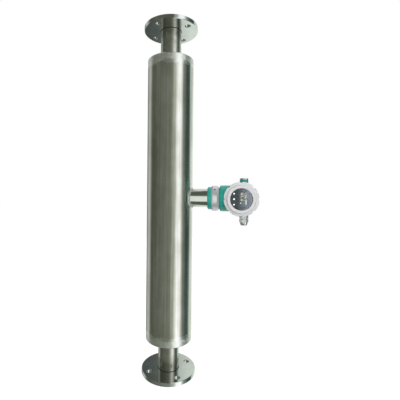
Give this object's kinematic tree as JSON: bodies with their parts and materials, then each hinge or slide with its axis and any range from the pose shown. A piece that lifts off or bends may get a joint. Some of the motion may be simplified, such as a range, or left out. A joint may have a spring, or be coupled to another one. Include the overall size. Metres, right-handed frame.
{
  "type": "coriolis mass flow meter",
  "caption": "Straight-tube mass flow meter: polished pipe case with a bolted flange at each end and a teal transmitter with a round display on a side stub.",
  "frame": {"origin": "centre of the lower flange's sealing face", "axes": "+Z along the flow axis to the upper flange, +X along the stub to the transmitter, -Y is where the display looks"},
  "size_m": [0.3463, 0.165, 1.066],
  "materials": {
    "polished_steel": "polished stainless steel pipe",
    "machined_steel": "turned stainless steel",
    "inner_steel": "plain stainless steel, unseen",
    "tube_steel": "drawn thin tube, unseen",
    "coil_copper": "varnished copper winding, unseen",
    "wire_insulation": "wire insulation, unseen",
    "teal_paint": "teal powder coat on a casting",
    "grey_paint": "light grey powder coat on a casting",
    "bare_aluminium": "turned aluminium, satin",
    "black_steel": "blackened steel",
    "stainless_fastener": "stainless steel",
    "nickel_plate": "nickel plated brass",
    "rubber": "black rubber",
    "window_glass": "clear toughened glass",
    "graphite_plastic": "dark graphite plastic, smooth",
    "screen": "dark display panel",
    "key_lens": "white translucent key lens",
    "circuit_board": "green circuit board",
    "module_plastic": "black moulded can",
    "terminal_plastic": "green moulded terminal strip",
    "terminal_brass": "brass clamp screws"
  },
  "bodies": {
    "sensor": {"case_tube": "polished_steel", "clamp_grub_screws": "black_steel", "clamp_ring": "bare_aluminium", "drive_brackets": "inner_steel", "drive_coil": "coil_copper", "drive_magnet": "inner_steel", "feedthrough": "inner_steel", "front_measuring_tube": "tube_steel", "lower_brace_plates": "inner_steel", "lower_end_cap": "polished_steel", "lower_flange": "machined_steel", "lower_manifold": "inner_steel", "lower_neck": "machined_steel", "lower_pickoff_brackets": "inner_steel", "lower_pickoff_coil": "coil_copper", "lower_pickoff_magnet": "inner_steel", "neck_adapter": "teal_paint", "rear_measuring_tube": "tube_steel", "signal_wires": "wire_insulation", "stub_tube": "polished_steel", "swivel_seal": "rubber", "temperature_sensor": "inner_steel", "upper_brace_plates": "inner_steel", "upper_end_cap": "polished_steel", "upper_flange": "machined_steel", "upper_manifold": "inner_steel", "upper_neck": "machined_steel", "upper_pickoff_brackets": "inner_steel", "upper_pickoff_coil": "coil_copper", "upper_pickoff_magnet": "inner_steel"},
    "transmitter": {"transmitter_housing": "teal_paint", "earth_screw": "stainless_fastener", "earth_washer": "stainless_fastener", "electronics_module": "module_plastic", "module_screws": "stainless_fastener", "terminal_block": "terminal_plastic", "terminal_screws": "terminal_brass", "gland_body": "nickel_plate", "gland_washer": "rubber"},
    "display": {"display_carrier": "graphite_plastic", "display_board": "circuit_board", "display_face_plate": "graphite_plastic", "display_screen": "screen", "key_lenses": "key_lens"},
    "front_seal_ring": {"front_cover_seal": "rubber"},
    "front_cover": {"front_cover": "grey_paint", "window_glass": "window_glass", "window_gasket": "rubber", "window_retainer": "bare_aluminium"},
    "rear_seal_ring": {"rear_cover_seal": "rubber"},
    "rear_cover": {"rear_cover": "grey_paint"},
    "plug_washer": {"plug_seal": "rubber"},
    "plug": {"blind_plug": "nickel_plate"},
    "gland_rubber": {"gland_seal": "rubber"},
    "gland_cap": {"gland_nut": "nickel_plate"}
  },
  "joints": [
    {"name": "transmitter_swivel", "type": "hinge", "parent": "sensor", "child": "transmitter", "pos_m": [0.1439, 0, 0.5383], "axis": [1, 0, 0], "range_deg": [-175, 175]},
    {"name": "display_turn", "type": "hinge", "parent": "transmitter", "child": "display", "pos_m": [0.2145, -0.044, 0.5383], "axis": [0, -1, 0], "range_deg": [-180, 180]},
    {"name": "front_cover_lift", "type": "slide", "parent": "transmitter", "child": "front_seal_ring", "axis": [0, -1, 0], "range_m": [0, 0.012]},
    {"name": "front_cover_turn", "type": "hinge", "parent": "front_seal_ring", "child": "front_cover", "pos_m": [0.2145, -0.05, 0.5383], "axis": [0, -1, 0], "range_deg": [0, 2160]},
    {"name": "rear_cover_lift", "type": "slide", "parent": "transmitter", "child": "rear_seal_ring", "axis": [0, 1, 0], "range_m": [0, 0.012]},
    {"name": "rear_cover_turn", "type": "hinge", "parent": "rear_seal_ring", "child": "rear_cover", "pos_m": [0.2145, 0.05, 0.5383], "axis": [0, 1, 0], "range_deg": [0, 2160]},
    {"name": "plug_lift", "type": "slide", "parent": "transmitter", "child": "plug_washer", "axis": [0, 0, 1], "range_m": [0, 0.0105]},
    {"name": "plug_turn", "type": "hinge", "parent": "plug_washer", "child": "plug", "pos_m": [0.2265, 0.029, 0.5938], "axis": [0, 0, 1], "range_deg": [0, 2520]},
    {"name": "gland_lift", "type": "slide", "parent": "transmitter", "child": "gland_rubber", "axis": [0, 0, -1], "range_m": [0, 0.009]},
    {"name": "gland_turn", "type": "hinge", "parent": "gland_rubber", "child": "gland_cap", "pos_m": [0.2265, 0.029, 0.4663], "axis": [0, 0, -1], "range_deg": [0, 2160]}
  ],
  "couplings": [
    {"joint": "front_cover_lift", "follows": "front_cover_turn", "m_per_rad": 0.00031831},
    {"joint": "rear_cover_lift", "follows": "rear_cover_turn", "m_per_rad": 0.00031831},
    {"joint": "plug_lift", "follows": "plug_turn", "m_per_rad": 0.00023873},
    {"joint": "gland_lift", "follows": "gland_turn", "m_per_rad": 0.00023873}
  ]
}
